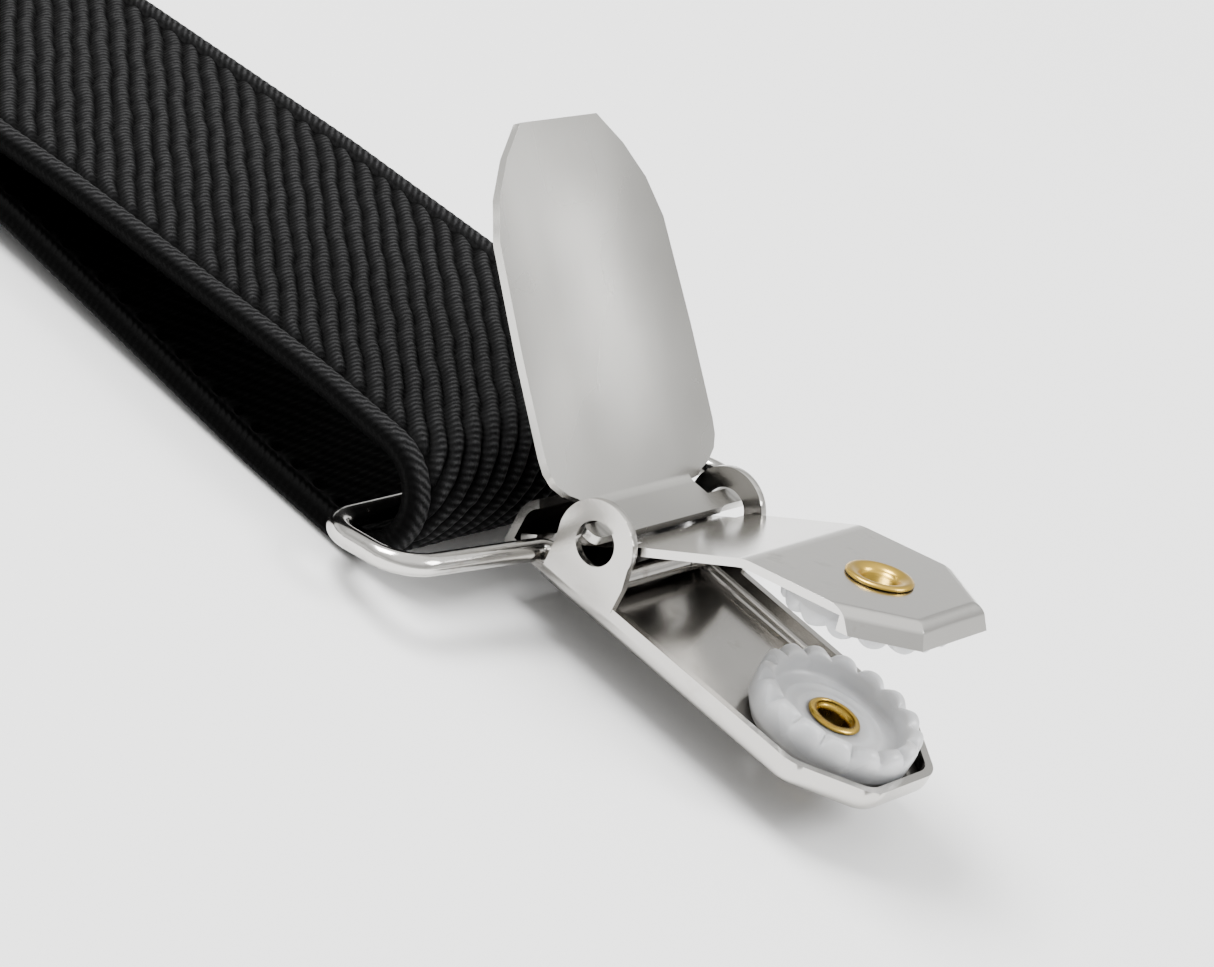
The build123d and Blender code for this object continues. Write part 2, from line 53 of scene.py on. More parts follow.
def lane_matrix(side):
    """A clip's own frame: its lever pivot, +X to its tip, +Y across, +Z up, in millimetres."""
    j = JOINTS[side + "_lever_hinge"]
    yaw = math.atan2(-j["axis"][0], j["axis"][1])
    turn = Matrix.Rotation(yaw, 4, "Z")
    return Matrix.Translation(Vector(j["pos_m"])) @ turn @ Matrix.Scale(MM, 4)


LANE = {side: lane_matrix(side) for side in SIDES}


# ---------------------------------------------------------------- camera
# in the left clip's own frame, millimetres
CAMERA_EYE = Vector((119.7, -260.8, 141.1))
CAMERA_FORWARD = Vector((-0.38912, 0.80970, -0.43929))
CAMERA_UP = Vector((-0.59725, 0.14132, 0.78951))
CAMERA_LENS = 130.45
SENSOR_WIDTH = 36.0


def make_camera():
    forward = CAMERA_FORWARD.normalized()
    right = forward.cross(CAMERA_UP).normalized()
    up = right.cross(forward).normalized()
    cam = bpy.data.cameras.new("camera")
    cam.sensor_fit = "HORIZONTAL"
    cam.sensor_width = SENSOR_WIDTH
    cam.lens = CAMERA_LENS
    cam.clip_start = 0.01
    cam.clip_end = 20.0
    ob = bpy.data.objects.new("camera", cam)
    bpy.context.scene.collection.objects.link(ob)
    turn = Matrix((right, up, -forward)).transposed().to_4x4()
    place = LANE["left"] @ CAMERA_EYE
    ob.matrix_world = Matrix.Translation(place) @ turn
    bpy.context.scene.camera = ob


make_camera()


# ---------------------------------------------------------------- material tools
class Nodes:
    """A new node material with a Principled shader and short helpers."""

    def __init__(self, name):
        self.mat = bpy.data.materials.new(name)
        self.mat.use_nodes = True
        self.tree = self.mat.node_tree
        self.shader = self.tree.nodes["Principled BSDF"]

    def add(self, kind, inputs=None, **props):
        n = self.tree.nodes.new(kind)
        for k, v in props.items():
            setattr(n, k, v)
        for k, v in (inputs or {}).items():
            self.put(n.inputs[k], v)
        return n

    def put(self, socket, value):
        if isinstance(value, bpy.types.NodeSocket):
            self.tree.links.new(value, socket)
        else:
            socket.default_value = value

    def set(self, **values):
        for k, v in values.items():
            self.put(self.shader.inputs[k.replace("_", " ")], v)

    def math(self, op, a, b=0.0, c=0.0, clamp=False):
        n = self.add("ShaderNodeMath", operation=op, use_clamp=clamp)
        for i, v in enumerate((a, b, c)):
            self.put(n.inputs[i], v)
        return n.outputs[0]

    def noise(self, scale, detail=2.0, vector=None, rough=0.5):
        n = self.add("ShaderNodeTexNoise", {"Scale": scale, "Detail": detail, "Roughness": rough})
        self.put(n.inputs["Vector"], vector or self.coords())
        return n.outputs["Fac"]

    def coords(self):
        return self.add("ShaderNodeTexCoord").outputs["Object"]

    def ramp(self, fac, stops):
        n = self.add("ShaderNodeValToRGB")
        els = n.color_ramp.elements
        while len(els) < len(stops):
            els.new(0.5)
        for e, (p, c) in zip(els, stops):
            e.position = p
            e.color = (*c, 1.0)
        self.put(n.inputs[0], fac)
        return n.outputs[0]

    def range(self, fac, a, b, low, high):
        ends = {"From Min": a, "From Max": b, "To Min": low, "To Max": high}
        n = self.add("ShaderNodeMapRange", ends)
        self.put(n.inputs["Value"], fac)
        return n.outputs["Result"]

    def bump(self, height, distance, strength=1.0, normal=None):
        n = self.add("ShaderNodeBump", {"Distance": distance, "Strength": strength})
        self.put(n.inputs["Height"], height)
        if normal is not None:
            self.put(n.inputs["Normal"], normal)
        return n.outputs["Normal"]


# the near-black colour of the painted shade in the metals' hollows
HOLLOW_SHADE_COLOR = (0.035, 0.03, 0.026, 1.0)


def metal(name, color, dark, rough, tarnish=0.3, hollow_shade=0.85, bow=0.0):
    """Plated metal: cloudy, tarnished in patches, darkened with painted shade in its hollows and
    gaps, with fine scratches.

    bow bends the reflections of a plate that is not quite flat.
    """
    m = Nodes(name)
    cloud = m.noise(90.0, 2.0)
    patch = m.noise(420.0, 6.0, rough=0.65)
    stain = m.range(patch, 0.6, 0.8, 0.0, tarnish)
    plate = m.ramp(stain, [(0.0, color), (1.0, dark)])
    # painted shade: ambient occlusion darkens hollows and gaps between parts, where shade falls,
    # towards a near-black colour
    open_sky = m.add("ShaderNodeAmbientOcclusion", {"Distance": 0.009}, samples=8).outputs["AO"]
    hollow_shade_share = m.math("MULTIPLY", m.range(open_sky, 0.62, 0.18, 0.0, 1.0), hollow_shade)
    mix = m.add("ShaderNodeMix", data_type="RGBA")
    m.put(mix.inputs["Factor"], hollow_shade_share)
    m.put(mix.inputs[6], plate)
    m.put(mix.inputs[7], HOLLOW_SHADE_COLOR)
    m.set(Base_Color=mix.outputs[2])
    m.set(Metallic=1.0)
    lay = {"Scale": (300.0, 2600.0, 900.0), "Rotation": (0.3, 0.2, 0.5)}
    stretch = m.add("ShaderNodeMapping", lay)
    m.put(stretch.inputs["Vector"], m.coords())
    scratch = m.noise(1.0, 3.0, stretch.outputs[0])
    fine = m.noise(2600.0, 3.0)
    r = m.range(cloud, 0.3, 0.7, rough * 0.9, rough * 1.1)
    r = m.math("ADD", r, m.range(patch, 0.6, 0.85, 0.0, 0.35 * tarnish))
    m.set(Roughness=r)
    height = m.math("ADD", m.math("MULTIPLY", scratch, 0.3), m.math("MULTIPLY", fine, 0.4))
    n = m.bump(height, 0.00002, 0.35)
    n = m.bump(m.noise(110.0, 0.0), 0.0001, 0.12, n)
    if bow:
        n = m.bump(m.noise(38.0, 0.0), bow, 1.0, n)
    m.set(Normal=n)
    return m.mat


STAIN = (0.24, 0.20, 0.155)
NICKEL = metal("nickel_sheet", (0.57, 0.553, 0.525), STAIN, 0.19)
# painted light: the jaw gets a lighter copy of the sheet's nickel, standing in for the brighter
# reflections on its top
LIT_JAW_NICKEL = metal("nickel_jaw_lit", (0.66, 0.645, 0.62), STAIN, 0.17)
LEVER_NICKEL = metal(
    "nickel_lever", (0.55, 0.54, 0.515), (0.34, 0.31, 0.27), 0.27,
    tarnish=0.06, hollow_shade=0.7, bow=0.004,
)
WIRE_NICKEL = metal(
    "nickel_wire", (0.62, 0.605, 0.58), (0.16, 0.10, 0.06), 0.15, tarnish=0.6, hollow_shade=0.3
)
ADJUSTER_NICKEL = metal("adjuster_nickel", (0.60, 0.59, 0.57), (0.25, 0.22, 0.18), 0.2)
BRASS = metal("brass", (0.60, 0.39, 0.065), (0.22, 0.12, 0.03), 0.27, tarnish=0.5)


def nylon_material():
    m = Nodes("nylon")
    mottle = m.noise(350.0, 3.0)
    tones = [(0.3, (0.56, 0.57, 0.59)), (0.7, (0.65, 0.655, 0.665))]
    m.set(Base_Color=m.ramp(mottle, tones))
    m.set(Roughness=m.range(m.noise(900.0, 3.0), 0.3, 0.7, 0.32, 0.48))
    m.set(IOR=1.52, Subsurface_Weight=0.55, Subsurface_Scale=0.002, Transmission_Weight=0.12)
    m.shader.inputs["Subsurface Radius"].default_value = (1.0, 0.97, 0.92)
    m.set(Normal=m.bump(m.noise(1500.0, 3.0), 0.00003, 0.3))
    return m.mat


def webbing_material():
    """Black elastic webbing. The web attribute holds millimetres along and across the strap, then
    a share of painted light and shade: lighter on the ribs, darker in the grooves and on the inner
    face.
    """
    m = Nodes("webbing")
    web = m.add("ShaderNodeAttribute", attribute_name="web").outputs["Vector"]
    sep = m.add("ShaderNodeSeparateXYZ")
    m.put(sep.inputs[0], web)
    s, w, rib_light_and_shade = sep.outputs
    wander = m.add("ShaderNodeTexNoise", {"Scale": 0.9, "Detail": 3.0})
    m.put(wander.inputs["Vector"], web)
    shift = m.math("MULTIPLY", m.math("SUBTRACT", wander.outputs["Fac"], 0.5), 0.7)

    def threads(along, across, pitch):
        t = m.math("ADD", m.math("MULTIPLY", s, along), m.math("MULTIPLY", w, across))
        t = m.math("ADD", m.math("DIVIDE", t, pitch), shift)
        wave = m.math("SINE", m.math("MULTIPLY", t, 2 * math.pi))
        return m.math("ADD", m.math("MULTIPLY", wave, 0.5), 0.5)

    def choose(share, a, b):
        rest = m.math("MULTIPLY", b, m.math("SUBTRACT", 1.0, share))
        return m.math("ADD", m.math("MULTIPLY", a, share), rest)

    body = threads(0.98, -0.18, 0.47)
    edge_far = threads(0.80, 0.60, 0.5)
    edge_near = threads(0.80, -0.60, 0.5)
    side = m.math("GREATER_THAN", w, 0.0)
    edge = choose(side, edge_far, edge_near)
    on_edge = m.math("GREATER_THAN", m.math("ABSOLUTE", w), 15.2)
    thread = choose(on_edge, edge, body)
    fibre = m.add("ShaderNodeTexNoise", {"Scale": 7.0, "Detail": 4.0, "Roughness": 0.6})
    m.put(fibre.inputs["Vector"], web)
    fuzz = m.math("MULTIPLY", fibre.outputs["Fac"], 0.6)
    height = m.math("ADD", m.math("MULTIPLY", thread, 0.75), fuzz)
    m.set(Normal=m.bump(height, 0.00005, 0.8))
    lint = m.range(fibre.outputs["Fac"], 0.35, 0.75, 0.0, 1.0)
    strand = m.math("ADD", m.math("MULTIPLY", lint, 0.4), m.math("MULTIPLY", thread, 0.5))
    # painted highlight on the ribs and painted shade in the grooves and on the inner face scale
    # the base colour
    shade = m.math("MULTIPLY", m.math("ADD", strand, 0.1), rib_light_and_shade)
    blacks = [(0.0, (0.0002, 0.0002, 0.0002)), (0.4, (0.007, 0.007, 0.0073))]
    blacks += [(1.0, (0.04, 0.04, 0.041))]
    m.set(Base_Color=m.ramp(shade, blacks))
    m.set(Roughness=0.55)
    m.set(Specular_IOR_Level=0.03)
    return m.mat


def leather_material():
    m = Nodes("leather")
    cells = m.add("ShaderNodeTexVoronoi", {"Scale": 900.0}, feature="DISTANCE_TO_EDGE")
    m.put(cells.inputs["Vector"], m.coords())
    grain = m.range(cells.outputs["Distance"], 0.0, 0.28, 0.0, 1.0)
    fold = m.noise(120.0, 5.0, rough=0.6)
    tones = [(0.3, (0.004, 0.0037, 0.0035)), (0.75, (0.011, 0.0098, 0.009))]
    m.set(Base_Color=m.ramp(m.noise(220.0, 4.0), tones))
    m.set(Roughness=m.range(grain, 0.0, 1.0, 0.62, 0.42))
    n = m.bump(fold, 0.0006, 0.3)
    m.set(Normal=m.bump(grain, 0.00012, 0.8, n))
    m.set(Specular_IOR_Level=0.14)
    return m.mat


def thread_material():
    m = Nodes("thread")
    tones = [(0.3, (0.01, 0.01, 0.0105)), (0.7, (0.03, 0.03, 0.031))]
    m.set(Base_Color=m.ramp(m.noise(2500.0, 3.0), tones))
    m.set(Roughness=0.6, Sheen_Weight=0.2)
    m.set(Normal=m.bump(m.noise(5000.0, 2.0), 0.00005, 0.6))
    return m.mat


NYLON = nylon_material()
WEBBING = webbing_material()
LEATHER = leather_material()
THREAD = thread_material()


# ---------------------------------------------------------------- mesh tools
def mesh_object(name, verts, faces, material, matrix):
    me = bpy.data.meshes.new(name)
    me.from_pydata([tuple(map(float, v)) for v in verts], [], faces)
    me.transform(matrix)
    if matrix.determinant() < 0:
        me.flip_normals()
    me.materials.append(material)
    me.polygons.foreach_set("use_smooth", [True] * len(me.polygons))
    me.update()
    ob = bpy.data.objects.new(name, me)
    bpy.context.scene.collection.objects.link(ob)
    return ob


def face_outwards(ob):
    bm = bmesh.new()
    bm.from_mesh(ob.data)
    bmesh.ops.recalc_face_normals(bm, faces=bm.faces)
    bm.to_mesh(ob.data)
    bm.free()


def grid_faces(rows, cols, close_rows=False, close_cols=False):
    """Quads over rows x cols points, row by row."""
    out = []
    for i in range(rows if close_rows else rows - 1):
        for j in range(cols if close_cols else cols - 1):
            a, b = i * cols + j, i * cols + (j + 1) % cols
            c, d = ((i + 1) % rows) * cols + (j + 1) % cols, ((i + 1) % rows) * cols + j
            out.append((a, b, c, d))
    return out


def lathe(name, profile, material, matrix, radius=None, steps=96):
    """A closed profile of (r, z) turned round Z. radius(angle, k, r) may vary it."""
    verts = []
    for i in range(steps):
        a = 2 * math.pi * i / steps
        for k, (r, z) in enumerate(profile):
            if radius:
                r, z = radius(a, k, r, z)
            verts.append((r * math.cos(a), r * math.sin(a), z))
    faces = grid_faces(steps, len(profile), True, True)
    return mesh_object(name, verts, faces, material, matrix)


def finish(ob, body, slot, *nodes):
    """Hides the CAD nodes that the piece stands for and puts the piece on its body. slot is not
    used.
    """
    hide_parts(*nodes)
    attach(ob, body)


# ---------------------------------------------------------------- webbing
STRAP_W = 35.0
STRAP_T = 1.75
LAYER_PITCH = STRAP_T + 0.4
RIB_PITCH = 2.187
# the braided roll along each edge: the middle of its section and half its width
ROLL_W = 16.4
ROLL_HALF = 1.12
# half thickness of the webbing inside an adjuster, and half the length that it presses flat
PRESSED_T = 0.95
PRESSED_HALF = 15.0
FOLD_X = -14.2
LOOP_TOP_Z = 9.25
LOW_Z = STRAP_T / 2
ADJUSTER_X = -96.0
PATCH_STRAP_Z = 0.1 + 1.4 + STRAP_T / 2


def fillet_path(points, radii):
    """Lines and arcs through points with rounded corners, each with its length."""
    pts = [Vector(p) for p in points]
    pieces, start = [], pts[0]
    for i in range(1, len(pts) - 1):
        a = (pts[i - 1] - pts[i]).normalized()
        b = (pts[i + 1] - pts[i]).normalized()
        angle = math.acos(max(-1.0, min(1.0, a.dot(b))))
        r = radii[i - 1]
        if math.pi - angle < 1e-6:
            continue
        cut = r / math.tan(angle / 2)
        t0, t1 = pts[i] + a * cut, pts[i] + b * cut
        centre = pts[i] + (a + b).normalized() * (r / math.sin(angle / 2))
        pieces.append(("line", start, t0, (t0 - start).length))
        v0, v1 = t0 - centre, t1 - centre
        turn = math.atan2(v0.x * v1.y - v0.y * v1.x, v0.dot(v1))
        pieces.append(("arc", centre, v0, abs(turn) * r, turn))
        start = t1
    pieces.append(("line", start, pts[-1], (pts[-1] - start).length))
    return [p for p in pieces if p[3] > 1e-6]


def path_length(pieces):
    return sum(p[3] for p in pieces)


def path_at(pieces, s):
    """Point and tangent at length s."""
    for p in pieces:
        if s <= p[3] or p is pieces[-1]:
            t = min(1.0, s / p[3])
            if p[0] == "line":
                d = (p[2] - p[1]).normalized()
                return p[1] + (p[2] - p[1]) * t, d
            rot = Matrix.Rotation(p[4] * t, 2)
            v = rot @ p[2]
            d = Vector((-v.y, v.x)).normalized() * (1 if p[4] > 0 else -1)
            return p[1] + v, d
        s -= p[3]


def webbing(name, side, pieces, s0, s1, step_s, step_w, edge_cut=None):
    """A length of ribbed elastic webbing along a path of (x, z), z above the table.

    It runs from s0 to s1 along the path. edge_cut(X, Y) may trim the width.
    """
    ns = max(2, int(round((s1 - s0) / step_s)) + 1)
    ss = np.linspace(s0, s1, ns)
    n_out = int(round(STRAP_W / step_w))
    # the ring: the outer face from the -Y edge to the +Y edge, then the inner face back
    edge = STRAP_W / 2
    w_out = -edge * np.cos(np.linspace(0, 1, n_out + 1) * math.pi) * 0.02
    w_out = np.linspace(-edge, edge, n_out + 1) * 0.98 + w_out
    n_in = max(24, n_out // 3)
    w_in = np.linspace(edge, -edge, n_in + 1)[1:-1]
    w_ring = np.concatenate([w_out, w_in])
    outer = np.concatenate([np.ones(len(w_out)), -np.ones(len(w_in))])
    S, W = np.meshgrid(ss, w_ring, indexing="ij")
    O = np.broadcast_to(outer, S.shape)
    wob = 0.045 * np.sin(0.61 * S + 0.43 * W) + 0.03 * np.sin(1.13 * S - 0.77 * W + 1.3)
    wob += 0.03 * np.sin(2.3 * W + 0.31 * S) + 0.02 * np.sin(1.9 * S + 2.9)
    phase = (W - S) / RIB_PITCH + wob
    rib = np.abs(np.sin(np.pi * phase)) ** 0.8
    rib = rib * (1 + 0.06 * np.sin(3.7 * W + 1.9 * S) * np.sin(0.9 * S))
    aw = np.abs(W)
    # the selvedge is a braided roll, with a groove where the ribs run into it
    roll = np.sqrt(np.clip(1.0 - ((aw - ROLL_W) / ROLL_HALF) ** 2, 0, 1))
    roll = roll * (1 + 0.035 * np.sin(2 * np.pi * (S / 0.95 + 0.8 * (aw - ROLL_W))))
    meet = 15.25 + 0.22 * np.sin(2 * np.pi * (phase - 0.25))
    fade = np.clip((meet - aw) / 0.9, 0, 1)
    body = 0.38 + 0.54 * rib * (0.3 + 0.7 * fade)
    inner_body = 0.66 + 0.08 * rib
    flat = np.where(O > 0, body, inner_body)
    t = np.where(aw < meet, flat * np.clip(fade * 1.6 + 0.72, 0, 1), np.maximum(roll, 0.0))
    near = np.clip((aw - meet) / 0.35, 0, 1)
    t = np.where(aw >= meet, np.maximum(t, 0.45 * (1 - near)), t)
    centre = np.array([path_at(pieces, s) for s in ss], dtype=object)
    P = np.array([[c[0][0], c[0][1]] for c in centre], float)
    T = np.array([[c[1][0], c[1][1]] for c in centre], float)
    N = np.stack([T[:, 1], -T[:, 0]], axis=1)
    # the adjuster presses the webbing flat over the whole of its travel
    pressed = np.clip(1 - (np.abs(P[:, :1] - ADJUSTER_X) - PRESSED_HALF) / 3.0, 0, 1)
    t = t - pressed * (side != "back") * np.maximum(t - PRESSED_T, 0)
    off = O * t
    X = P[:, :1] + N[:, :1] * off
    Z = P[:, 1:] + N[:, 1:] * off - PIVOT_H
    Y = W.copy()
    if edge_cut:
        Y = edge_cut(X, Y)
    verts = np.stack([X, Y, Z], axis=-1).reshape(-1, 3)
    cols = len(w_ring)
    faces = grid_faces(ns, cols, False, True)
    caps = []
    for row, flip in ((0, False), (ns - 1, True)):
        loop = [row * cols + j for j in range(cols)]
        caps.append(tuple(reversed(loop)) if flip else tuple(loop))
    faces += caps
    ob = mesh_object(name, verts, faces, WEBBING, LANE[side])
    face_outwards(ob)
    # painted light and shade: the ribs, which stand higher, are painted lighter than the grooves,
    # and the inner face is painted dark as if in shade
    rib_light_and_shade = np.where(O > 0, np.clip((t - 0.42) / 0.48, 0, 1) ** 1.6, 0.02)
    data = np.stack([-S, W, rib_light_and_shade], axis=-1).reshape(-1, 3).astype(np.float32)
    layer = ob.data.attributes.new("web", "FLOAT_VECTOR", "POINT")
    layer.data.foreach_set("vector", data.ravel())
    return ob


def loop_points(tail_x, low_rise, low_end_z):
    """The lower layer from its tail to the fold round the wire, and the fold."""
    r = (LOOP_TOP_Z - LOW_Z) / 2
    pts = [(tail_x, low_end_z), (tail_x + 26, low_end_z), (-52, LOW_Z + low_rise), (-24, LOW_Z)]
    pts += [(FOLD_X + r + 0.001, LOW_Z), (FOLD_X + r + 0.001, LOOP_TOP_Z)]
    return pts, [60, 60, 60, r - 0.02, r - 0.02]


def stack_points(near_x, far_x, levels):
    """The turns of a flat stack of webbing between two ends."""
    pts, radii = [], []
    r = LAYER_PITCH / 2
    for level in range(levels - 1):
        x = far_x - r if level % 2 == 0 else near_x + r
        z = LOW_Z + level * LAYER_PITCH
        pts += [(x, z), (x, z + LAYER_PITCH)]
        radii += [r - 0.01, r - 0.01]
    return pts, radii


def front_path():
    grip_z = 1.0 + STRAP_T / 2
    top_z = grip_z + STRAP_T + 0.7 + 0.3
    pts, radii = loop_points(ADJUSTER_X - 17, 1.4, grip_z)
    pts += [(-22, LOOP_TOP_Z), (-48, LOOP_TOP_Z - 1.65), (-79, top_z), (ADJUSTER_X - 16, top_z)]
    radii += [90, 90, 60, 8]
    pts += [(-123.5, LOW_Z)]
    radii += [8]
    fold, fold_radii = stack_points(-124.0, -188.0, 7)
    exit_z = LOW_Z + 6 * LAYER_PITCH
    pts += fold + [(-191, exit_z), (-216, PATCH_STRAP_Z), (-239, PATCH_STRAP_Z)]
    return fillet_path(pts, radii + fold_radii + [10, 10])


def back_path():
    pts, radii = loop_points(-50, 0.0, LOW_Z)
    pts, radii = [(-50, LOW_Z)] + pts[4:], radii[3:]
    seam_z = LOW_Z + STRAP_T + 0.1
    pts += [(-20, LOOP_TOP_Z), (-38, seam_z), (-87 + 34, seam_z), (-57.5, LOW_Z)]
    radii += [25, 25, 4, 4]
    fold, fold_radii = stack_points(-58.0, -92.0, 3)
    exit_z = LOW_Z + 2 * LAYER_PITCH
    pts += fold + [(-95, exit_z), (-108, PATCH_STRAP_Z), (-129, PATCH_STRAP_Z)]
    return fillet_path(pts, radii + fold_radii + [10, 10])


def side_cut(side):
    """Inside the patch the two front straps stop at its centre line."""
    half = math.radians(HALF_ANGLE)
    apex_x = -222.0 - 18.6 / math.sin(half)
    sign = -1.0 if side == "left" else 1.0

    def cut(X, Y):
        X = np.broadcast_to(X, Y.shape)
        limit = sign * ((X - apex_x) * math.tan(half) - 0.3)
        inside = X < -221.0
        if side == "left":
            return np.where(inside, np.maximum(Y, limit), Y)
        return np.where(inside, np.minimum(Y, limit), Y)

    return cut


front = front_path()
front_total = path_length(front)
# the loop piece runs from the tail round the wire to the middle of the adjuster
s_split = None
for s in np.arange(150.0, 260.0, 0.25):
    point, tangent = path_at(front, float(s))
    if tangent.x < 0 and point.x <= ADJUSTER_X:
        s_split = float(s)
        break
for side in ("left", "right"):
    fine = 0.2 if side == "left" else 0.36
    loop = webbing(f"{side}_strap_loop", side, front, 0.0, s_split, fine, fine)
    finish(loop, "straps", "elastic_webbing", f"{side}_front_strap")
    rest = webbing(
        f"{side}_strap_length", side, front, s_split, front_total, 0.5, 0.5, side_cut(side)
    )
    finish(rest, "straps", "elastic_webbing", f"{side}_front_strap")
back = back_path()
back_total = path_length(back)
rear = webbing("back_strap_webbing", "back", back, 0.0, back_total, 0.4, 0.4)
finish(rear, "straps", "elastic_webbing", "back_strap")


# ---------------------------------------------------------------- clips
FLOOR_Z = -5.4
SHEET = 0.65
PAD_X = 18.95
PAD_V = 18.05
JAW_TIP_V = 24.45
LOBES = 16
JAW_FRONT_ANGLE = 14.3
JAW_FRONT_OFFSET = 3.64
JAW_HINGE = (-6.15, -4.42)
JAW_TRAVEL = 13.5


def jaw_matrix(closed):
    """The plane on top of the jaw's front part: X along it, Z away from the pivot."""
    a = math.radians(JAW_FRONT_ANGLE)
    foot = (-JAW_FRONT_OFFSET * math.sin(a), 0, JAW_FRONT_OFFSET * math.cos(a))
    m = Matrix.Translation(foot) @ Matrix.Rotation(-a, 4, "Y")
    if closed:
        x, z = JAW_HINGE
        turn = Matrix.Rotation(math.radians(JAW_TRAVEL), 4, "Y")
        m = Matrix.Translation((x, 0, z)) @ turn @ Matrix.Translation((-x, 0, -z)) @ m
    return m


def pad_profile(base, floor, top):
    """(r, z, share) round the pad's section; share says how far the scallops move a point."""
    up = 1 if top > base else -1
    d = lambda v: v * up
    pts = [(1.56, base, 0), (3.4, base, 0), (5.4, base, 0), (5.85, base + d(0.08), 0.1)]
    pts += [(6.3, base + d(0.85), 0.08), (6.44, base + d(1.1), 0.1)]
    pts += [(6.5, top - d(1.2), 0.16), (6.52, top - d(0.6), 0.5)]
    pts += [(6.46, top - d(0.28), 1), (6.28, top - d(0.07), 1)]
    pts += [(6.0, top, 1), (5.75, top - d(0.02), 0.7)]
    pts += [(5.5, top - d(0.14), 0.4), (5.34, top - d(0.36), 0.2), (5.25, top - d(0.7), 0)]
    pts += [(5.16, floor + d(0.35), 0), (5.02, floor + d(0.12), 0), (4.8, floor, 0)]
    # two raised rings on the pad's floor
    pts += [(4.1, floor, 0), (3.95, floor + d(0.06), 0)]
    pts += [(3.75, floor + d(0.06), 0), (3.6, floor, 0)]
    pts += [(3.1, floor, 0), (2.95, floor + d(0.05), 0)]
    pts += [(2.75, floor + d(0.05), 0), (2.6, floor, 0)]
    pts += [(1.62, floor, 0), (1.56, floor - d(0.08), 0)]
    return pts


def make_pad(name, matrix, base, floor, top, x_max=None):
    """A round pad with LOBES scallops; x_max cuts its front flat."""
    prof = pad_profile(base, floor, top)
    up = 1 if top > base else -1

    def shape(a, k, r, z):
        share = prof[k][2]
        u = (a * LOBES / (2 * math.pi)) % 1.0
        dip = 1 - math.sqrt(max(0.0, 1 - (2 * u - 1) ** 2 * 0.96))
        r = r - share * 0.55 * dip
        high = (z - base) * up / abs(top - base)
        z = z - up * share * 0.95 * dip * max(0.0, high - 0.3) / 0.7
        if x_max is not None and r * math.cos(a) > x_max:
            r = x_max / math.cos(a)
        return r, z

    return lathe(name, [(r, z) for r, z, _ in prof], NYLON, matrix, shape, steps=LOBES * 14)


def eyelet_profile(low, high, r_low, r_high, sink):
    """A tube with a rolled rim below low and a flared one above high."""
    pts = [(1.27, low - 0.12), (1.27, high - 0.35), (1.3, high - sink * 0.45), (1.42, high + 0.03)]
    pts += [(1.65, high + 0.17), (r_high - 0.55, high + 0.31), (r_high - 0.3, high + 0.33)]
    pts += [(r_high - 0.1, high + 0.26), (r_high, high + 0.13), (r_high - 0.05, high + 0.01)]
    pts += [(1.55, high), (1.5, high - 0.06), (1.5, low + 0.06), (1.55, low)]
    pts += [(r_low - 0.05, low - 0.01), (r_low, low - 0.12), (r_low - 0.12, low - 0.25)]
    pts += [(r_low - 0.35, low - 0.33), (1.6, low - 0.3), (1.33, low - 0.22)]
    return pts


WELD_DISTANCE = 0.000002
BEVEL_ANGLE = 28.0


def add_bevel(node, width, segments=2, merge_flats=False):
    """Breaks a CAD node's edges. merge_flats joins its flat triangles first, for plain plates."""
    ob = frame["nodes"][node]
    weld = ob.modifiers.new("weld", "WELD")
    weld.merge_threshold = WELD_DISTANCE
    if merge_flats:
        flat = ob.modifiers.new("flat", "DECIMATE")
        flat.decimate_type = "DISSOLVE"
        flat.angle_limit = math.radians(0.4)
    bevel = ob.modifiers.new("bevel", "BEVEL")
    bevel.width = width * MM
    bevel.segments = segments
    bevel.limit_method = "ANGLE"
    bevel.angle_limit = math.radians(BEVEL_ANGLE)
    if merge_flats:
        even = ob.modifiers.new("even", "WEIGHTED_NORMAL")
        even.keep_sharp = False
        even.weight = 80
    else:
        bevel.harden_normals = True


def paint(node, material):
    ob = frame["nodes"][node]
    ob.data.materials.clear()
    ob.data.materials.append(material)


for side in SIDES:
    low_place = LANE[side] @ Matrix.Translation((PAD_X, 0, 0))
    high_place = LANE[side] @ jaw_matrix(side != "left") @ Matrix.Translation((PAD_V, 0, 0))
    low_base = FLOOR_Z + SHEET + 0.03
    low_pad = make_pad(f"{side}_lower_pad", low_place, low_base, -2.95, -1.15)
    finish(low_pad, f"{side}_clip", "nylon", f"{side}_lower_tooth_pad")
    front_cut = JAW_TIP_V - SHEET - 0.06 - PAD_V
    high_pad = make_pad(f"{side}_upper_pad", high_place, -0.68, -1.68, -3.05, front_cut)
    finish(high_pad, f"{side}_jaw", "nylon", f"{side}_upper_tooth_pad")
    low_rims = eyelet_profile(FLOOR_Z - 0.03, -2.92, 2.0, 2.08, 0.4)
    low_eye = lathe(f"{side}_low_grommet", low_rims, BRASS, low_place)
    finish(low_eye, f"{side}_clip", "brass", f"{side}_lower_eyelet")
    high_rims = eyelet_profile(-1.74, 0.03, 2.0, 2.55, 1.1)
    high_eye = lathe(f"{side}_high_grommet", high_rims, BRASS, high_place)
    finish(high_eye, f"{side}_jaw", "brass", f"{side}_upper_eyelet")
    paint(f"{side}_clip_body", NICKEL)
    paint(f"{side}_upper_jaw", LIT_JAW_NICKEL)
    paint(f"{side}_lever", LEVER_NICKEL)
    paint(f"{side}_wire_loop", WIRE_NICKEL)
    add_bevel(f"{side}_clip_body", 0.09)
    add_bevel(f"{side}_upper_jaw", 0.26, segments=4, merge_flats=True)
    add_bevel(f"{side}_lever", 0.12, merge_flats=True)
for side in ("left", "right"):
    paint(f"{side}_adjuster_frame", ADJUSTER_NICKEL)
    paint(f"{side}_adjuster_bar", ADJUSTER_NICKEL)
    add_bevel(f"{side}_adjuster_frame", 0.15)
    add_bevel(f"{side}_adjuster_bar", 0.08)


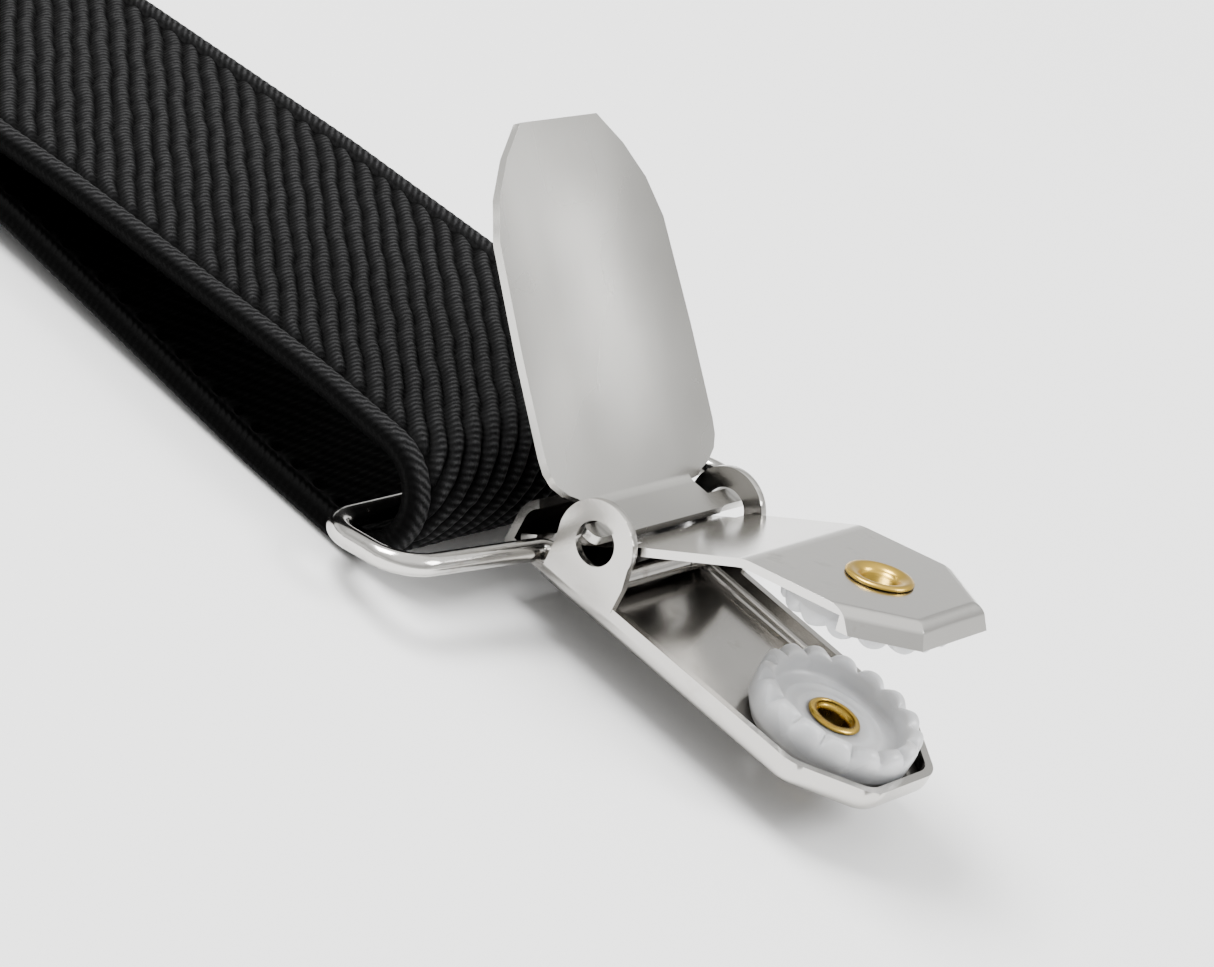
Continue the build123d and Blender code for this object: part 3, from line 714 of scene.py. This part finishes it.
# ---------------------------------------------------------------- leather patch
PATCH_PIVOT = Vector(MOUNTS["table_rest"]["pos_m"])
PATCH_TURN = Matrix.Rotation(math.radians(-HALF_ANGLE), 4, "Z")
PATCH = Matrix.Translation(PATCH_PIVOT) @ PATCH_TURN @ Matrix.Scale(MM, 4)
LEATHER_T = 1.4
TOP_Z = 0.2 + LEATHER_T + STRAP_T
CORNERS = [(35.5, 0), (26.0, 40.0), (-4.0, 31.0), (-30.0, 21.0)]
CORNERS += [(x, -y) for x, y in reversed(CORNERS[1:])]
CENTRE = Vector((2.0, 0.0))
# how far a strap reaches into the patch
STRAP_REACH = 17.0


def outline(inset, per_edge=26, round_r=2.5):
    """The patch's rounded outline, pulled in towards its middle by about inset."""
    pts = [Vector(c) for c in CORNERS]
    out = []
    n = len(pts)
    for i in range(n):
        p, q, r = pts[i - 1], pts[i], pts[(i + 1) % n]
        a, b = (p - q).normalized(), (r - q).normalized()
        angle = a.angle(b)
        cut = round_r / math.tan(angle / 2)
        t0, t1 = q + a * cut, q + b * cut
        centre = q + (a + b).normalized() * (round_r / math.sin(angle / 2))
        v0, v1 = t0 - centre, t1 - centre
        turn = v0.angle_signed(v1)
        for k in range(7):
            out.append(centre + Matrix.Rotation(-turn * k / 6, 2) @ v0)
        s = pts[(i + 2) % n]
        a2, b2 = (q - r).normalized(), (s - r).normalized()
        cut2 = round_r / math.tan(a2.angle(b2) / 2)
        end = r + (q - r).normalized() * cut2
        for k in range(1, per_edge):
            out.append(t1.lerp(end, k / per_edge))
    res = []
    for p in out:
        d = p - CENTRE
        res.append(CENTRE + d * max(0.0, 1 - inset / d.length))
    return res


def strap_cover(u, w):
    """1 over a strap inside the patch, 0 where the two leathers meet."""
    best = 0.0
    for sign in (1, -1, 0):
        if sign:
            half = math.radians(HALF_ANGLE)
            base = Vector((30.0, sign * 18.6 / math.cos(half)))
            axis = Vector((math.cos(half), sign * math.sin(half)))
            d = Vector((u, w)) - base
            along, across = -d.dot(axis), abs(d.x * -axis.y + d.y * axis.x)
        else:
            along, across = u + 30.0, abs(w)
        ends = min(1.0, max(0.0, (STRAP_REACH + 3.5 - along) / 4.0))
        sides = min(1.0, max(0.0, (STRAP_W / 2 + 3.6 - across) / 4.0))
        k = ends * sides
        best = max(best, k * k * (3 - 2 * k))
    return best


def front_height(u, w):
    """How high the top leather's underside lies at a point of the patch."""
    return 0.15 + LEATHER_T + (TOP_Z - 0.15 - LEATHER_T) * strap_cover(u, w)


def leather(name, lift, thick):
    """One leather of the patch: rings from the middle out over its rounded edge and back under.

    A ring is how far it lies in from the edge, and its height as a share of the thickness.
    """
    rings = [(x, 1.0) for x in (40, 34, 28, 24, 20, 17, 14.5, 12, 10, 8, 6.4, 5, 4.2)]
    # the groove that the stitches lie in
    rings += [(3.7, 0.93), (3.2, 0.84), (2.7, 0.93), (2.2, 1.0), (1.4, 1.0), (0.8, 1.0)]
    # the rounded edge
    rings += [(0.35, 0.93), (0.08, 0.76), (0.0, 0.5), (0.08, 0.24), (0.35, 0.07)]
    rings += [(x, 0.0) for x in (1.4, 3, 6, 10, 14, 18, 24, 30, 36, 40)]
    verts, count = [], None
    for inset, share in rings:
        ring = outline(inset)
        count = len(ring)
        for p in ring:
            verts.append((p.x, p.y, lift(p.x, p.y) + thick * share))
    faces = grid_faces(len(rings), count, False, True)
    for row in (0, len(rings) - 1):
        centre = (CENTRE.x, CENTRE.y, lift(CENTRE.x, CENTRE.y) + (thick if row == 0 else 0))
        verts.append(centre)
        hub = len(verts) - 1
        for j in range(count):
            a, b = row * count + j, row * count + (j + 1) % count
            faces.append((a, b, hub))
    ob = mesh_object(name, verts, faces, LEATHER, PATCH)
    face_outwards(ob)
    return ob


under = leather("patch_under_leather", lambda u, w: 0.0, LEATHER_T)
finish(under, "straps", "patch_leather", "patch_back_leather")
over = leather("patch_top_leather", front_height, LEATHER_T)
finish(over, "straps", "patch_leather", "patch_front_leather")


def stitches(name, spots, matrix, length=2.3, radius=0.26):
    """Twisted stitches, each a fat rounded capsule half sunk in what it holds.

    A spot is x, y, z, the angle in the plane and the pitch.
    """
    verts, faces = [], []
    around, along = 10, 12
    for x, y, z, yaw, pitch in spots:
        turn = Matrix.Rotation(yaw, 3, "Z") @ Matrix.Rotation(pitch, 3, "Y")
        base = len(verts)
        for i in range(along + 1):
            t = -1 + 2 * i / along
            r = radius * math.sqrt(max(0.02, 1 - abs(t) ** 3.2))
            dip = -0.22 * t * t
            for k in range(around):
                a = 2 * math.pi * k / around
                rr = r * (1 + 0.12 * math.sin(3 * a + 9 * t))
                v = turn @ Vector((t * length / 2, rr * math.cos(a), rr * math.sin(a) + dip))
                verts.append((x + v.x, y + v.y, z + v.z))
        for i in range(along):
            for k in range(around):
                a, b = base + i * around + k, base + i * around + (k + 1) % around
                faces.append((a, b, b + around, a + around))
        faces.append(tuple(base + k for k in reversed(range(around))))
        faces.append(tuple(base + along * around + k for k in range(around)))
    return mesh_object(name, verts, faces, THREAD, matrix)


def patch_spots():
    """Stitches all the way round the patch, 3.2 mm in from its edge."""
    ring = outline(3.2, per_edge=120)
    spots, travelled, pitch = [], 0.0, 3.4
    n = len(ring)
    for i in range(n):
        p, q = ring[i], ring[(i + 1) % n]
        step = (q - p).length
        travelled += step
        if travelled >= pitch and step > 1e-6:
            travelled = 0.0
            d = (q - p).normalized()
            z0 = front_height(p.x - d.x, p.y - d.y)
            z1 = front_height(p.x + d.x, p.y + d.y)
            slope = -math.atan2(z1 - z0, 2.0)
            z = front_height(p.x, p.y) + LEATHER_T * 0.84
            spots.append((p.x, p.y, z + 0.12, math.atan2(d.y, d.x), slope))
    return spots


thread = stitches("patch_thread", patch_spots(), PATCH)
finish(thread, "straps", "thread", "patch_stitching")


def seam_spots():
    """A sewn box with one diagonal, where the back strap's loop is closed."""
    top = 2 * STRAP_T + 0.1 - PIVOT_H
    x0, x1, w = -49.0, -41.5, 13.5
    corners = [(x0, -w), (x0, w), (x1, w), (x1, -w), (x0, -w), (x1, w)]
    spots = []
    for (xa, ya), (xb, yb) in zip(corners, corners[1:]):
        length = math.hypot(xb - xa, yb - ya)
        count = round(length / 3.0)
        for i in range(count):
            t = (i + 0.5) / count
            x, y = xa + t * (xb - xa), ya + t * (yb - ya)
            spots.append((x, y, top + 0.02, math.atan2(yb - ya, xb - xa), 0.0))
    return spots


seam = stitches("back_loop_thread", seam_spots(), LANE["back"], 2.1)
finish(seam, "straps", "thread", "back_loop_stitching")


# ---------------------------------------------------------------- floor, light
FLOOR_HALF = 4.0
FLOOR_TOP = -0.0002
# the sky's brightness from the horizon (0) to overhead (1)
SKY = [(0.0, 0.9), (0.2, 0.95), (0.45, 0.85), (0.56, 0.5), (0.72, 0.6), (0.9, 0.95), (1.0, 1.2)]
SKY_STRENGTH = 1.25
LIGHT_AIM = (0.1, 0.0, 0.0)


def studio():
    m = Nodes("floor_paper")
    whites = [(0.0, (0.94, 0.94, 0.94)), (1.0, (0.97, 0.97, 0.97))]
    m.set(Base_Color=m.ramp(m.noise(30.0, 2.0), whites), Roughness=0.9)
    me = bpy.data.meshes.new("floor")
    s = FLOOR_HALF
    corners = [(x, y, FLOOR_TOP) for x, y in ((-s, -s), (s, -s), (s, s), (-s, s))]
    me.from_pydata(corners, [], [(0, 1, 2, 3)])
    me.materials.append(m.mat)
    floor = bpy.data.objects.new("floor", me)
    bpy.context.scene.collection.objects.link(floor)
    world = bpy.data.worlds.new("studio")
    bpy.context.scene.world = world
    world.use_nodes = True
    tree = world.node_tree
    back = tree.nodes["Background"]
    coord = tree.nodes.new("ShaderNodeTexCoord")
    split = tree.nodes.new("ShaderNodeSeparateXYZ")
    tree.links.new(coord.outputs["Generated"], split.inputs[0])
    cloud = tree.nodes.new("ShaderNodeTexNoise")
    cloud.inputs["Scale"].default_value = 1.6
    cloud.inputs["Detail"].default_value = 1.0
    tree.links.new(coord.outputs["Generated"], cloud.inputs["Vector"])
    soft = tree.nodes.new("ShaderNodeMath")
    soft.operation = "MULTIPLY_ADD"
    soft.inputs[1].default_value = 0.45
    tree.links.new(cloud.outputs["Fac"], soft.inputs[0])
    tree.links.new(split.outputs["Z"], soft.inputs[2])
    ramp = tree.nodes.new("ShaderNodeValToRGB")
    els = ramp.color_ramp.elements
    while len(els) < len(SKY):
        els.new(0.5)
    for e, (p, v) in zip(els, SKY):
        e.position = p
        e.color = (v, v, v * 0.985, 1.0)
    tree.links.new(soft.outputs[0], ramp.inputs[0])
    tree.links.new(ramp.outputs[0], back.inputs[0])
    back.inputs[1].default_value = SKY_STRENGTH

    def softbox(name, place, size, power):
        light = bpy.data.lights.new(name, "AREA")
        light.shape = "RECTANGLE"
        light.size, light.size_y = size
        light.energy = power
        ob = bpy.data.objects.new(name, light)
        bpy.context.scene.collection.objects.link(ob)
        ob.location = place
        d = Vector(LIGHT_AIM) - Vector(place)
        ob.rotation_euler = d.to_track_quat("-Z", "Y").to_euler()

    softbox("key", (-0.5, -0.2, 1.1), (0.7, 0.5), 32.0)
    softbox("fill", (0.9, 0.5, 0.9), (0.5, 0.5), 12.0)


studio()
